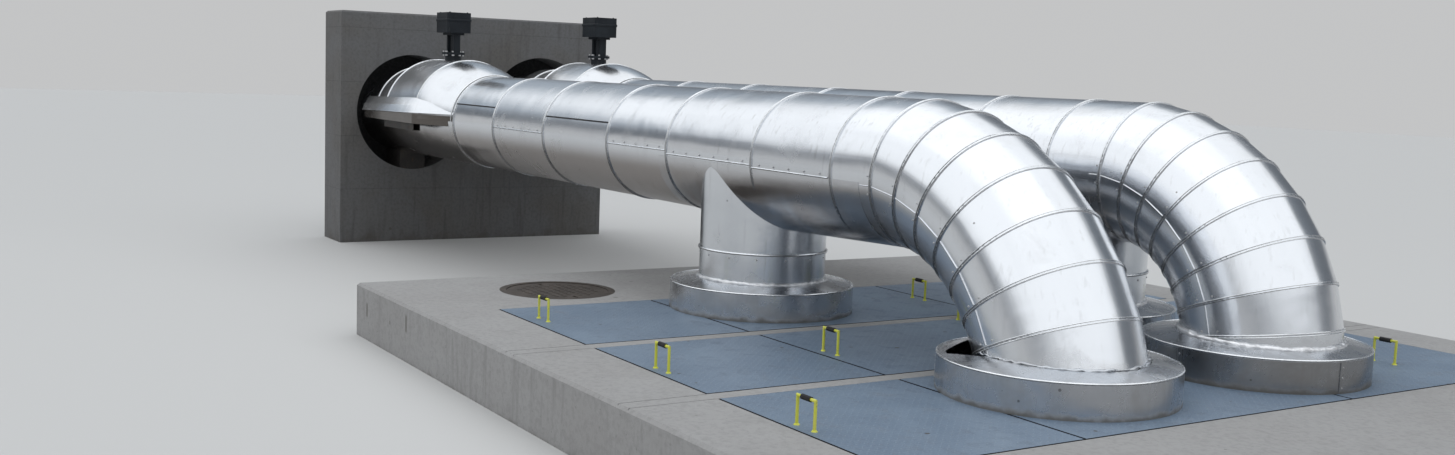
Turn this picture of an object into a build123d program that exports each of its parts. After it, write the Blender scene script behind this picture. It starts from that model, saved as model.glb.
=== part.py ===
"""Pipe bridge: two clad district heating pipes between a chamber slab and a portal wall.

+X runs along the pipes from the wall to the elbows and +Z is up. The origin is on the ground,
in the middle of the footprint. All sizes are in millimetres.
"""
import os
from math import cos, radians, sin, tan

from build123d import *

os.makedirs("parts", exist_ok=True)

# clad pipes
jacket_d = 750
column_d = 742
carrier_d = 508
carrier_wall = 11
pipe_spacing = 1318
front_axis_above_slab = 900
rear_axis_above_slab = 920
seat_gap = 0.3
bead_height = 4
bead_width = 18

# chamber slab: tray covers in bays between cast beams, with a concrete margin on each side
slab_height = 325
edge_chamfer = 15
margin_front = 433
margin_back = 433
margin_left = 1190
margin_right = 1190
cover_bays = (1100, 1160, 1250)
cover_rows = (971, 1706, 1587)
beam_width = 90
cover_thickness = 60
cover_gap = 12
cover_fit = 2
plate_thickness = 12
rim_width = 40
joint_width = 6
joint_depth = 8

# round manhole, its centre measured from the slab's front left corner
manhole_from_left = 666
manhole_from_front = 1047
manhole_lid_d = 620
manhole_rim_width = 45
manhole_depth = 80
manhole_seat_width = 25
lid_thickness = 36
lid_gap = 3
lid_lift = 4
lid_slot_length = 60
lid_slot_width = 22
lid_slot_depth = 20

# handles on the covers: share of the cover's length and width at which each one stands
handle_width = 120
handle_height = 120
handle_bar_d = 14
grip_d = 24
grip_length = 60
handle_sides = 8
handle_places = {
    "cover_1_1": [(0.36, 0.10)],
    "cover_1_2": [(0.58, 0.06)],
    "cover_1_3": [(0.52, 0.06)],
    "cover_2_1": [(0.49, 0.96)],
    "cover_2_2": [(0.55, 0.04), (0.155, 0.80)],
    "cover_3_1": [(0.50, 0.90)],
    "cover_3_2": [(0.50, 0.90)],
    "cover_3_3": [(0.62, 0.61)],
}

# portal wall
wall_thickness = 500
wall_height = 2150
wall_overhang = 690
wall_to_slab = 4410
sleeve_d = 1080
pipe_stub = 60
shoe_width = 240
seal_inset = 60
seal_thickness = 40

# elbows, columns and their foot rings
elbow_from_cover_end = 590
front_bend_radius = 1100
rear_bend_radius = 855
front_gore_angle = 10.25
rear_gore_angle = 10.8
gore_seams = 8
front_column_back = 2470
rear_column_back = 1230
column_seam_height = 360
foot_ring_d = 1080
foot_ring_wall = 30
foot_ring_height = 150
flashing_rise = 30
flashing_sheet = 6
front_ring_shift = 13
rear_ring_shift = 36
elbow_cover_gap = 15
elbow_flashing_gap = 6

# corners of the opening left in the front elbow's flashing, from its ring's centre
flashing_notch = [(-440, -130), (-250, -60), (-60, -300), (-60, -395), (-250, -435), (-300, -400)]

# sheet joints on the straight pipes, measured back from the elbow axis
front_joints = (1330, 2060, 3000, 3780, 4770, 5680, 6500)
rear_joints = (1160, 1840, 2740, 3560, 4550, 5500, 6450)
tee_half_length = 640

# lower half shells of the tees: their lap and how far they sag beside the column
shell_lap = 2
shell_drop = 40
shell_sag = 42

# valve hoods: back end, shoulder and nose measured back from the elbow axis
hood_d = 1000
hood_collar_d = 860
front_hood_back = 7850
front_hood_shoulder = 7100
front_hood_nose = 6520
rear_hood_back = 7650
rear_hood_shoulder = 6980
rear_hood_nose = 6480
hood_lip = 6
hood_collar_to_wall = 200
ledge_width = 15
ledge_height = 90
ledge_to_wall = 100
ledge_corner = 60
ledge_taper = 480
hood_rail = 60
hood_rail_sheet = 4

# valve stands and their actuators
front_valve_back = 7500
rear_valve_back = 7270
stem_d = 140
stand_flange_d = 200
stand_flange_rise = 50
stand_plate = 20
yoke_height = 150
yoke_spacing = 140
yoke_leg_length = 30
yoke_leg_width = 60
yoke_top_length = 200
yoke_top_width = 120
actuator_length = 290
actuator_width = 220
actuator_height = 175
actuator_corner = 25

jacket_r = jacket_d / 2
column_r = column_d / 2
slab_top = slab_height
pocket_floor = slab_top - cover_thickness
ring_top = slab_top + foot_ring_height
shoe_r = jacket_r + seat_gap
column_hole_r = column_r + seat_gap
hood_r = hood_d / 2
manhole_frame_d = manhole_lid_d + 2 * manhole_rim_width
stem_r = stem_d / 2

cover_length = sum(cover_bays)
cover_width = sum(cover_rows)
slab_length = margin_left + cover_length + margin_right
slab_width = margin_front + cover_width + margin_back
total_length = pipe_stub + wall_thickness + wall_to_slab + slab_length
slab_right = total_length / 2
slab_left = slab_right - slab_length
wall_front = slab_left - wall_to_slab
wall_rear = wall_front - wall_thickness
pipe_end = wall_rear - pipe_stub
cover_left = slab_left + margin_left
cover_right = cover_left + cover_length
cover_front = -slab_width / 2 + margin_front
cover_back = cover_front + cover_width
elbow_x = cover_right - elbow_from_cover_end
bay_ends = [cover_left + sum(cover_bays[:count]) for count in range(len(cover_bays) + 1)]
bay_starts = [cover_left] + [end + beam_width for end in bay_ends[1:-1]]
manhole_x = slab_left + manhole_from_left
manhole_y = -slab_width / 2 + manhole_from_front


def across(x, y, z):
    """A plane square to the pipes, its own x axis along +Y."""
    return Plane((x, y, z), x_dir=(0, 1, 0), z_dir=(1, 0, 0))


def finish(node, name):
    """Names a finished sub-part and writes its file."""
    node.part.label = name
    export_step(node.part, f"parts/{name}.step")


def bend_corners(run_end, height, bend, gore):
    """Corners of an elbow's gored centreline and the angle it has turned through at each."""
    mitre_r = bend / cos(radians(gore / 2))
    corners = [(run_end, height, 0)]
    for step in range(gore_seams):
        turn = gore / 2 + gore * step
        corner_x = run_end + mitre_r * sin(radians(turn))
        corner_z = height - bend + mitre_r * cos(radians(turn))
        corners.append((corner_x, corner_z, turn))
    return corners


def make_gores(corners, ends, radius):
    """Straight lengths of an elbow, each trimmed between its two end planes."""
    gores = []
    for step, (start, stop) in enumerate(zip(corners, corners[1:])):
        with BuildPart() as single_gore:
            with BuildSketch(Plane(start, x_dir=(0, 1, 0), z_dir=(stop - start).normalized())):
                Circle(radius)
            extrude(amount=(stop - start).length + jacket_r)
            if step:
                extrude(faces().sort_by(Axis((0, 0, 0), stop - start))[0], amount=jacket_r)
            split(bisect_by=ends[step], keep=Keep.TOP)
            split(bisect_by=ends[step + 1], keep=Keep.TOP if step == gore_seams else Keep.BOTTOM)
        gores.append(single_gore.part)
    return gores


def centreline_x(corners, gore, height):
    """Where the gored centreline passes a height on its way down."""
    low_x, low_z, _ = corners[-1]
    found = low_x + (low_z - height) / tan(radians(gore * gore_seams))
    for (x1, z1, _), (x2, z2, _) in zip(corners, corners[1:]):
        if z2 <= height < z1:
            found = x1 + (x2 - x1) * (z1 - height) / (z1 - z2)
    return found


def make_pipe(y, rise, bend, gore, column_back, ring_shift, joints, hood, valve_back):
    """Places that follow from one pipe's own sizes."""
    axis_z = slab_top + rise
    corners = bend_corners(elbow_x - bend, axis_z, bend, gore)
    return dict(
        y=y,
        axis_z=axis_z,
        gore=gore,
        corners=corners,
        column_x=elbow_x - column_back,
        ring_x=centreline_x(corners, gore, ring_top) - ring_shift,
        hole_x=centreline_x(corners, gore, slab_top - cover_thickness / 2),
        joints=[elbow_x - back for back in joints],
        hood=[elbow_x - back for back in hood],
        valve_x=elbow_x - valve_back,
    )


pipes = {
    "front": make_pipe(
        y=-pipe_spacing / 2,
        rise=front_axis_above_slab,
        bend=front_bend_radius,
        gore=front_gore_angle,
        column_back=front_column_back,
        ring_shift=front_ring_shift,
        joints=front_joints,
        hood=(front_hood_back, front_hood_shoulder, front_hood_nose),
        valve_back=front_valve_back,
    ),
    "rear": make_pipe(
        y=pipe_spacing / 2,
        rise=rear_axis_above_slab,
        bend=rear_bend_radius,
        gore=rear_gore_angle,
        column_back=rear_column_back,
        ring_shift=rear_ring_shift,
        joints=rear_joints,
        hood=(rear_hood_back, rear_hood_shoulder, rear_hood_nose),
        valve_back=rear_valve_back,
    ),
}

# the feet that pass through the covers: centre and radius of each hole
feet = []
for pipe in pipes.values():
    feet.append((pipe["column_x"], pipe["y"], column_hole_r))
    feet.append((pipe["hole_x"], pipe["y"], jacket_r + elbow_cover_gap))

# slab with the covers' pockets, the manhole's seat and the joints along its beams
with BuildPart() as chamber_slab:
    with BuildSketch(Plane.XY):
        with Locations((slab_right - slab_length / 2, 0)):
            Rectangle(slab_length, slab_width)
    extrude(amount=slab_height)
    chamfer(faces().sort_by(Axis.Z)[-1].edges(), length=edge_chamfer)
    with BuildSketch(Plane.XY.offset(slab_top)):
        for bay_start, bay_end in zip(bay_starts, bay_ends[1:]):
            with Locations(((bay_start + bay_end) / 2, cover_front + cover_width / 2)):
                Rectangle(bay_end - bay_start, cover_width)
    extrude(amount=-cover_thickness, mode=Mode.SUBTRACT)
    with BuildSketch(Plane.XY.offset(slab_top)):
        with Locations((manhole_x, manhole_y)):
            Circle(manhole_frame_d / 2 + seat_gap)
    extrude(amount=-manhole_depth, mode=Mode.SUBTRACT)
    with BuildSketch(Plane.XY.offset(slab_top)):
        for joint_x in bay_ends[1:-1] + bay_starts[1:]:
            with Locations((joint_x, cover_front - margin_front / 2)):
                Rectangle(joint_width, margin_front)
            with Locations((joint_x, cover_back + margin_back / 2)):
                Rectangle(joint_width, margin_back)
    extrude(amount=-joint_depth, mode=Mode.SUBTRACT)
finish(chamber_slab, "chamber_slab")

# round manhole beside the covers
lid_seat = lid_thickness + lid_lift
with BuildPart() as manhole_frame:
    with BuildSketch(Plane.XY.offset(slab_top - manhole_depth)):
        with Locations((manhole_x, manhole_y)):
            Circle(manhole_frame_d / 2)
            Circle(manhole_lid_d / 2 - manhole_seat_width, mode=Mode.SUBTRACT)
    extrude(amount=manhole_depth)
    with BuildSketch(Plane.XY.offset(slab_top)):
        with Locations((manhole_x, manhole_y)):
            Circle(manhole_lid_d / 2 + lid_gap)
    extrude(amount=-lid_seat, mode=Mode.SUBTRACT)
finish(manhole_frame, "manhole_frame")

with BuildPart() as manhole_lid:
    with BuildSketch(Plane.XY.offset(slab_top - lid_seat)):
        with Locations((manhole_x, manhole_y)):
            Circle(manhole_lid_d / 2)
    extrude(amount=lid_thickness)
    with BuildSketch(Plane.XY.offset(slab_top - lid_lift)):
        with Locations((manhole_x, manhole_y)):
            with PolarLocations(manhole_lid_d / 2 - lid_slot_length, 2):
                SlotOverall(lid_slot_length, lid_slot_width)
    extrude(amount=-lid_slot_depth, mode=Mode.SUBTRACT)
finish(manhole_lid, "manhole_lid")

# tray covers: a top plate with a rim turned down to the pocket's floor
handles = []
row_y = cover_front
for row, depth in enumerate(cover_rows, start=1):
    for bay, width in enumerate(cover_bays, start=1):
        plate_length = bay_ends[bay] - bay_starts[bay - 1] - cover_fit - cover_gap
        plate_width = depth - cover_fit - cover_gap
        plate_x = bay_starts[bay - 1] + cover_fit + plate_length / 2
        plate_y = row_y + cover_gap + plate_width / 2
        with BuildPart() as cover:
            with BuildSketch(Plane.XY.offset(pocket_floor)):
                with Locations((plate_x, plate_y)):
                    Rectangle(plate_length, plate_width)
            extrude(amount=cover_thickness)
            with BuildSketch(Plane.XY.offset(pocket_floor)):
                with Locations((plate_x, plate_y)):
                    Rectangle(plate_length - 2 * rim_width, plate_width - 2 * rim_width)
                for foot_x, foot_y, foot_r in feet:
                    with Locations((foot_x, foot_y)):
                        Circle(foot_r + rim_width, mode=Mode.SUBTRACT)
            extrude(amount=cover_thickness - plate_thickness, mode=Mode.SUBTRACT)
            with BuildSketch(Plane.XY.offset(slab_top)):
                for foot_x, foot_y, foot_r in feet:
                    with Locations((foot_x, foot_y)):
                        Circle(foot_r)
            extrude(amount=-cover_thickness, mode=Mode.SUBTRACT)
        finish(cover, f"cover_{row}_{bay}")
        for along, over in handle_places.get(f"cover_{row}_{bay}", []):
            handles.append((bay_ends[bay - 1] + width * along, row_y + depth * over))
    row_y += depth

# bar handles that lift the covers, with a black sleeve on each; few sides keep them light
with BuildPart() as cover_handles:
    for handle_x, handle_y in handles:
        base = Plane((handle_x, handle_y, slab_top), x_dir=(1, 0, 0), z_dir=(0, -1, 0))
        with BuildLine(base) as bar:
            Polyline(
                (-handle_width / 2, 0),
                (-handle_width / 2, handle_height),
                (handle_width / 2, handle_height),
                (handle_width / 2, 0),
            )
        with BuildSketch(Plane.XY.offset(slab_top)):
            with Locations((handle_x - handle_width / 2, handle_y)):
                RegularPolygon(handle_bar_d / 2, handle_sides)
        sweep(path=bar.wires()[0], transition=Transition.RIGHT)
finish(cover_handles, "cover_handles")

with BuildPart() as handle_grips:
    for handle_x, handle_y in handles:
        with BuildSketch(across(handle_x - grip_length / 2, handle_y, slab_top + handle_height)):
            RegularPolygon(grip_d / 2, handle_sides)
            RegularPolygon(handle_bar_d / 2 + seat_gap, handle_sides, mode=Mode.SUBTRACT)
        extrude(amount=grip_length)
finish(handle_grips, "handle_grips")

# portal wall with a round sleeve opening for each pipe
wall_width = pipe_spacing + 2 * wall_overhang
with BuildPart() as portal_wall:
    with BuildSketch(across(wall_rear, 0, 0)):
        with Locations((0, wall_height / 2)):
            Rectangle(wall_width, wall_height)
        for pipe in pipes.values():
            with Locations((pipe["y"], pipe["axis_z"])):
                Circle(sleeve_d / 2, mode=Mode.SUBTRACT)
    extrude(amount=wall_thickness)
    chamfer(faces().sort_by(Axis.Z)[-1].edges(), length=edge_chamfer)
finish(portal_wall, "portal_wall")

for side, pipe in pipes.items():
    y = pipe["y"]
    axis_z = pipe["axis_z"]
    column_x = pipe["column_x"]
    gore = pipe["gore"]
    bend_start = pipe["corners"][0][0]
    tee_left = column_x - tee_half_length
    tee_right = min(column_x + tee_half_length, bend_start)

    # sliding shoe that carries the pipe in the wall's opening
    with BuildPart() as pipe_shoe:
        with BuildSketch(across(wall_rear, y, axis_z)):
            Circle(sleeve_d / 2 - seat_gap)
            Circle(shoe_r, mode=Mode.SUBTRACT)
            with Locations((0, -sleeve_d / 2)):
                Rectangle(shoe_width, sleeve_d, mode=Mode.INTERSECT)
        extrude(amount=wall_thickness)
    finish(pipe_shoe, f"{side}_pipe_shoe")

    # dark seal that closes the opening round the pipe, beside the shoe
    with BuildPart() as wall_seal:
        with BuildSketch(across(wall_rear + seal_inset, y, axis_z)):
            Circle(sleeve_d / 2 - seat_gap)
            Circle(shoe_r, mode=Mode.SUBTRACT)
            with Locations((0, -sleeve_d / 2)):
                Rectangle(shoe_width + 2 * seat_gap, sleeve_d, mode=Mode.SUBTRACT)
        extrude(amount=seal_thickness)
    finish(wall_seal, f"{side}_wall_seal")

    # straight run: the jacket with its insulation, and the steel pipe inside it
    with BuildPart() as run_jacket:
        with BuildSketch(across(pipe_end, y, axis_z)):
            Circle(jacket_r)
            Circle(carrier_d / 2 + seat_gap, mode=Mode.SUBTRACT)
        extrude(amount=tee_left - seat_gap - pipe_end)
        for joint_x in pipe["joints"]:
            if joint_x < tee_left - bead_width:
                with BuildSketch(across(joint_x - bead_width / 2, y, axis_z)):
                    Circle(jacket_r + bead_height)
                    Circle(jacket_r - 1, mode=Mode.SUBTRACT)
                extrude(amount=bead_width)
    finish(run_jacket, f"{side}_run_jacket")

    with BuildPart() as carrier_pipe:
        with BuildSketch(across(pipe_end, y, axis_z)):
            Circle(carrier_d / 2)
            Circle(carrier_d / 2 - carrier_wall, mode=Mode.SUBTRACT)
        extrude(amount=tee_left - seat_gap - pipe_end)
    finish(carrier_pipe, f"{side}_carrier_pipe")

    # tee: the pipe's jacket runs into a branch of the same diameter
    with BuildPart() as tee_jacket:
        with BuildSketch(across(tee_left, y, axis_z)):
            Circle(jacket_r)
        extrude(amount=bend_start - tee_left)
        with BuildSketch(Plane.XY.offset(slab_top + column_seam_height + seat_gap)):
            with Locations((column_x, y)):
                Circle(column_r)
        extrude(amount=axis_z - slab_top - column_seam_height - seat_gap)
        shells = [
            (tee_left + bead_width, column_x, shell_lap, shell_lap),
            (column_x, bend_start, shell_sag, shell_lap),
        ]
        for shell_start, shell_stop, start_sag, stop_sag in shells:
            for shell_x, sag in ((shell_start, start_sag), (shell_stop, stop_sag)):
                with BuildSketch(across(shell_x, y, axis_z)):
                    Ellipse(jacket_r + shell_lap, jacket_r + sag)
                    with Locations((0, -shell_drop - jacket_d)):
                        Rectangle(2 * jacket_d, 2 * jacket_d, mode=Mode.INTERSECT)
            loft()
        for joint_x in pipe["joints"]:
            if joint_x > tee_left + bead_width:
                with BuildSketch(across(joint_x - bead_width / 2, y, axis_z)):
                    Circle(jacket_r + bead_height)
                    Circle(jacket_r - 1, mode=Mode.SUBTRACT)
                extrude(amount=bead_width)
    finish(tee_jacket, f"{side}_tee_jacket")

    with BuildPart() as column_jacket:
        with BuildSketch(Plane.XY.offset(pocket_floor)):
            with Locations((column_x, y)):
                Circle(column_r)
        extrude(amount=slab_top + column_seam_height - pocket_floor)
        with BuildSketch(Plane.XY.offset(slab_top + column_seam_height - bead_width)):
            with Locations((column_x, y)):
                Circle(column_r + bead_height)
                Circle(column_r - 1, mode=Mode.SUBTRACT)
        extrude(amount=bead_width)
    finish(column_jacket, f"{side}_column_jacket")

    # elbow: straight gores that meet on mitre planes through the bend's centre
    corners = [Vector(x, y, z) for x, z, _ in pipe["corners"]]
    mitres = []
    for (_, _, angle), corner in zip(pipe["corners"][1:], corners[1:]):
        turn = radians(angle)
        mitres.append(Plane(corner, x_dir=(sin(turn), 0, cos(turn)), z_dir=(cos(turn), 0, -sin(turn))))
    last_turn = radians(gore * gore_seams)
    drop = (corners[-1].Z - pocket_floor) / sin(last_turn) + jacket_r
    corners.append(corners[-1] + Vector(cos(last_turn), 0, -sin(last_turn)) * drop)
    ends = [across(bend_start + seat_gap, y, axis_z)] + mitres + [Plane.XY.offset(pocket_floor)]

    with BuildPart() as elbow_jacket:
        add(make_gores(corners, ends, jacket_r))
        for mitre in mitres:
            with BuildSketch(mitre.offset(-bead_width / 2)):
                Ellipse((jacket_r + bead_height) / cos(radians(gore / 2)), jacket_r + bead_height)
            extrude(amount=bead_width)
        with BuildSketch(Plane.XY.offset(pocket_floor)):
            with Locations((column_x, y)):
                Circle(column_r + bead_height + seat_gap)
        extrude(amount=axis_z - pocket_floor, mode=Mode.SUBTRACT)
    finish(elbow_jacket, f"{side}_elbow_jacket")

    # foot rings stand on the covers, each closed by a sloped flashing
    foot_x = {"column": column_x, "elbow": pipe["ring_x"]}
    hole_r = {"column": column_hole_r, "elbow": jacket_r}
    flashing_clearance = make_gores(corners, ends, jacket_r + bead_height + elbow_flashing_gap)
    for kind in ("column", "elbow"):
        with BuildPart() as foot_ring:
            with BuildSketch(Plane.XY.offset(slab_top)):
                with Locations((foot_x[kind], y)):
                    Circle(foot_ring_d / 2)
                    Circle(foot_ring_d / 2 - foot_ring_wall, mode=Mode.SUBTRACT)
            extrude(amount=foot_ring_height)
        finish(foot_ring, f"{side}_{kind}_ring")

        with BuildPart() as flashing:
            with BuildSketch(Plane((foot_x[kind], y, ring_top), x_dir=(1, 0, 0), z_dir=(0, -1, 0))):
                with BuildLine():
                    Polyline(
                        (hole_r[kind], flashing_rise),
                        (foot_ring_d / 2, 0),
                        (foot_ring_d / 2, flashing_sheet),
                        (hole_r[kind], flashing_rise + flashing_sheet),
                        close=True,
                    )
                make_face()
            revolve(axis=Axis((foot_x[kind], y, 0), (0, 0, 1)))
            if kind == "elbow":
                add(flashing_clearance, mode=Mode.SUBTRACT)
            if kind == "elbow" and side == "front":
                with BuildSketch(Plane((foot_x[kind], y, ring_top), x_dir=(1, 0, 0), z_dir=(0, 0, 1))):
                    with BuildLine():
                        Polyline(*flashing_notch, close=True)
                    make_face()
                extrude(amount=2 * flashing_rise, mode=Mode.SUBTRACT)
        finish(flashing, f"{side}_{kind}_flashing")

    # hood over the valve: half a turned shell with a collar, a barrel and a domed nose
    hood_left, shoulder_x, nose_x = pipe["hood"]
    valve_x = pipe["valve_x"]
    collar_left = wall_front + hood_collar_to_wall
    ledge_left = wall_front + ledge_to_wall
    ledge_y = hood_r + ledge_width
    nose_length = nose_x - shoulder_x
    with BuildPart() as valve_hood:
        with BuildSketch(Plane((0, y, axis_z), x_dir=(1, 0, 0), z_dir=(0, 0, 1))):
            with BuildLine():
                Polyline(
                    (nose_x, jacket_r + hood_lip),
                    (nose_x, shoe_r),
                    (collar_left, shoe_r),
                    (collar_left, hood_collar_d / 2),
                    (hood_left, hood_collar_d / 2),
                    (hood_left, hood_r),
                    (shoulder_x, hood_r),
                )
                ThreePointArc(
                    (shoulder_x, hood_r),
                    (shoulder_x + nose_length / 2, (hood_r + jacket_r + hood_lip) / 2 + hood_r * 0.04),
                    (nose_x, jacket_r + hood_lip),
                )
            make_face()
        revolve(axis=Axis((0, y, axis_z), (1, 0, 0)), revolution_arc=180)
        with BuildSketch(Plane((0, y, axis_z - ledge_height / 2), x_dir=(1, 0, 0), z_dir=(0, 0, 1))):
            with BuildLine():
                Polyline(
                    (ledge_left, -ledge_y),
                    (shoulder_x, -ledge_y),
                    (shoulder_x + ledge_taper, -jacket_r),
                    (shoulder_x + ledge_taper, jacket_r),
                    (shoulder_x, ledge_y),
                    (ledge_left, ledge_y),
                    close=True,
                )
            make_face()
            fillet(vertices().group_by(Axis.X)[0], ledge_corner)
        extrude(amount=ledge_height)
        with BuildSketch(across(ledge_left, y, axis_z)):
            Circle(shoe_r)
        extrude(amount=nose_x - ledge_left, mode=Mode.SUBTRACT)
        with BuildSketch(Plane.XY.offset(axis_z)):
            with Locations((valve_x, y)):
                Circle(stem_r + seat_gap)
        extrude(amount=hood_r, mode=Mode.SUBTRACT)
    finish(valve_hood, f"{side}_valve_hood")

    # box rails under the hood's ledge
    rail_bore = hood_rail - 2 * hood_rail_sheet
    with BuildPart() as hood_rails:
        with BuildSketch(across(hood_left, y, axis_z - ledge_height / 2 - hood_rail / 2)):
            with Locations((-hood_r + hood_rail / 2, 0), (hood_r - hood_rail / 2, 0)):
                Rectangle(hood_rail, hood_rail)
                Rectangle(rail_bore, rail_bore, mode=Mode.SUBTRACT)
        extrude(amount=shoulder_x - hood_left)
    finish(hood_rails, f"{side}_hood_rails")

    # valve stand and actuator above the hood
    flange_z = axis_z + hood_r + stand_flange_rise
    yoke_z = flange_z + stand_plate
    with BuildPart() as valve_stand:
        with BuildSketch(Plane.XY.offset(axis_z + shoe_r)):
            with Locations((valve_x, y)):
                Circle(stem_r)
        extrude(amount=flange_z - axis_z - shoe_r)
        with BuildSketch(Plane.XY.offset(flange_z)):
            with Locations((valve_x, y)):
                Circle(stand_flange_d / 2)
        extrude(amount=stand_plate)
        with BuildSketch(Plane.XY.offset(yoke_z)):
            with Locations((valve_x - yoke_spacing / 2, y), (valve_x + yoke_spacing / 2, y)):
                Rectangle(yoke_leg_length, yoke_leg_width)
            with Locations((valve_x, y)):
                Circle(stem_r / 3)
        extrude(amount=yoke_height)
        with BuildSketch(Plane.XY.offset(yoke_z + yoke_height)):
            with Locations((valve_x, y)):
                Rectangle(yoke_top_length, yoke_top_width)
        extrude(amount=stand_plate)
    finish(valve_stand, f"{side}_valve_stand")

    with BuildPart() as actuator:
        with BuildSketch(Plane.XY.offset(yoke_z + yoke_height + stand_plate)):
            with Locations((valve_x, y)):
                RectangleRounded(actuator_length, actuator_width, actuator_corner)
        extrude(amount=actuator_height)
    finish(actuator, f"{side}_actuator")
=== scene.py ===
import math
import bpy
import bmesh
from mathutils import Vector, Matrix, noise
from mathutils.bvhtree import BVHTree


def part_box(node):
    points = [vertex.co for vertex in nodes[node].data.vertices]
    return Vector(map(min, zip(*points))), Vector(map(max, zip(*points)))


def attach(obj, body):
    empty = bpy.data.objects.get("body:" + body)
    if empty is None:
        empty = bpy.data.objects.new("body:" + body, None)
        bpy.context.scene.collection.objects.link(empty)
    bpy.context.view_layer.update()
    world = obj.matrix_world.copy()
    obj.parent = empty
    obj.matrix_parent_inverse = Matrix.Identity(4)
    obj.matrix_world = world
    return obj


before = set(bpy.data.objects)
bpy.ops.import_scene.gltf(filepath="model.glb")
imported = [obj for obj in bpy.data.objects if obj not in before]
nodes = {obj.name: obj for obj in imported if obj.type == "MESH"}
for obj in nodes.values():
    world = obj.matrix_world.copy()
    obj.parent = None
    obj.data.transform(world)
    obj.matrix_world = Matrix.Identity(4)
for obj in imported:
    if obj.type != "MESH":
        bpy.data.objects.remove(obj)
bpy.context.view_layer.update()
print("frame loaded,", len(nodes), "nodes")

# the parts' places in metres, as the solids have them
site = {
    "slabTop": 0.325,
    "jacketRadius": 0.375,
    "columnRadius": 0.371,
    "columnSeam": 0.685,
    "elbowX": 3.65,
    "goreSeams": 8,
}
pipes = {
    "front": {
        "y": -0.659, "z": 1.225, "bend": 1.1, "gore": 10.25, "columnX": 1.18,
        "joints": (1.33, 2.06, 3.0, 3.78, 4.77, 5.68, 6.5),
        "hood": (-4.2, -3.45, -2.87), "valveX": -3.85,
    },
    "rear": {
        "y": 0.659, "z": 1.245, "bend": 0.855, "gore": 10.8, "columnX": 2.42,
        "joints": (1.16, 1.84, 2.74, 3.56, 4.55, 5.5, 6.45),
        "hood": (-4.0, -3.33, -2.83), "valveX": -3.62,
    },
}

def addObject(name, data):
    made = bpy.data.objects.new(name, data)
    bpy.context.collection.objects.link(made)
    return made


# camera: fitted to the photograph's edges, angles in degrees
view = {
    "place": (7.953, -5.198, 1.678),
    "turn": 57.66,
    "tilt": -6.208,
    "roll": 2.123,
    "focalPixels": 1393.3,
    "imageWidth": 1455.0,
}


def makeCamera():
    data = bpy.data.cameras.new("camera")
    data.sensor_width = 36.0
    data.lens = 36.0 * view["focalPixels"] / view["imageWidth"]
    data.clip_end = 200.0
    cam = addObject("camera", data)
    look = (
        Matrix.Rotation(math.radians(view["turn"]), 3, "Z")
        @ Matrix.Rotation(math.radians(90 + view["tilt"]), 3, "X")
        @ Matrix.Rotation(math.radians(view["roll"]), 3, "Z")
    )
    cam.matrix_world = Matrix.Translation(view["place"]) @ look.to_4x4()
    bpy.context.scene.camera = cam


makeCamera()
print("camera set")


# shader helpers
# sockets takes a socket's name or number, and another node's output or a plain value
def put(tree, kind, sockets=None, **settings):
    node = tree.nodes.new(kind)
    for key, value in settings.items():
        setattr(node, key, value)
    for key, value in (sockets or {}).items():
        if isinstance(value, bpy.types.NodeSocket):
            tree.links.new(value, node.inputs[key])
        else:
            node.inputs[key].default_value = value
    return node


def maths(tree, operation, first, second=0.0, third=0.0):
    return put(tree, "ShaderNodeMath", {0: first, 1: second, 2: third}, operation=operation).outputs[0]


def times(tree, *pair):
    return maths(tree, "MULTIPLY", *pair)


def plus(tree, *pair):
    return maths(tree, "ADD", *pair)


def minus(tree, *pair):
    return maths(tree, "SUBTRACT", *pair)


def between(tree, value, low, high, toLow=0.0, toHigh=1.0):
    sockets = {0: value, 1: low, 2: high, 3: toLow, 4: toHigh}
    return put(tree, "ShaderNodeMapRange", sockets, interpolation_type="SMOOTHSTEP").outputs[0]


def tint(tree, share, first, second, blend="MIX"):
    node = put(tree, "ShaderNodeMix", {0: share, 6: first, 7: second}, data_type="RGBA", blend_type=blend)
    return node.outputs[2]


# the second colour over the first, where the mask is and as strongly as strength says
def fade(tree, mask, strength, first, second):
    return tint(tree, times(tree, mask, strength), first, second)


def choose(tree, share, first, second):
    return put(tree, "ShaderNodeMix", {0: share, 2: first, 3: second}, data_type="FLOAT").outputs[0]


def split(tree, vector):
    return put(tree, "ShaderNodeSeparateXYZ", {0: vector}).outputs


def join(tree, x, y=0.0, z=0.0):
    return put(tree, "ShaderNodeCombineXYZ", {0: x, 1: y, 2: z}).outputs[0]


def facing(tree):
    return split(tree, put(tree, "ShaderNodeNewGeometry").outputs["Normal"])


def cloud(tree, vector, scale, detail, roughness=0.5, distortion=0.0):
    sockets = {
        "Vector": vector, "Scale": scale, "Detail": detail, "Roughness": roughness, "Distortion": distortion,
    }
    return put(tree, "ShaderNodeTexNoise", sockets).outputs[0]


def relief(tree, height, strength, distance, **under):
    sockets = {"Height": height, "Strength": strength, "Distance": distance, **under}
    return put(tree, "ShaderNodeBump", sockets).outputs[0]


# effects that several materials share
def newGroup(name, vectors, values, results):
    tree = bpy.data.node_groups.new(name, "ShaderNodeTree")
    for label in vectors:
        tree.interface.new_socket(name=label, in_out="INPUT", socket_type="NodeSocketVector")
    for label, value in values.items():
        socket = tree.interface.new_socket(name=label, in_out="INPUT", socket_type="NodeSocketFloat")
        socket.default_value = value
    for label in results:
        tree.interface.new_socket(name=label, in_out="OUTPUT", socket_type="NodeSocketFloat")
    return tree, tree.nodes.new("NodeGroupInput").outputs, tree.nodes.new("NodeGroupOutput").inputs


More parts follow.
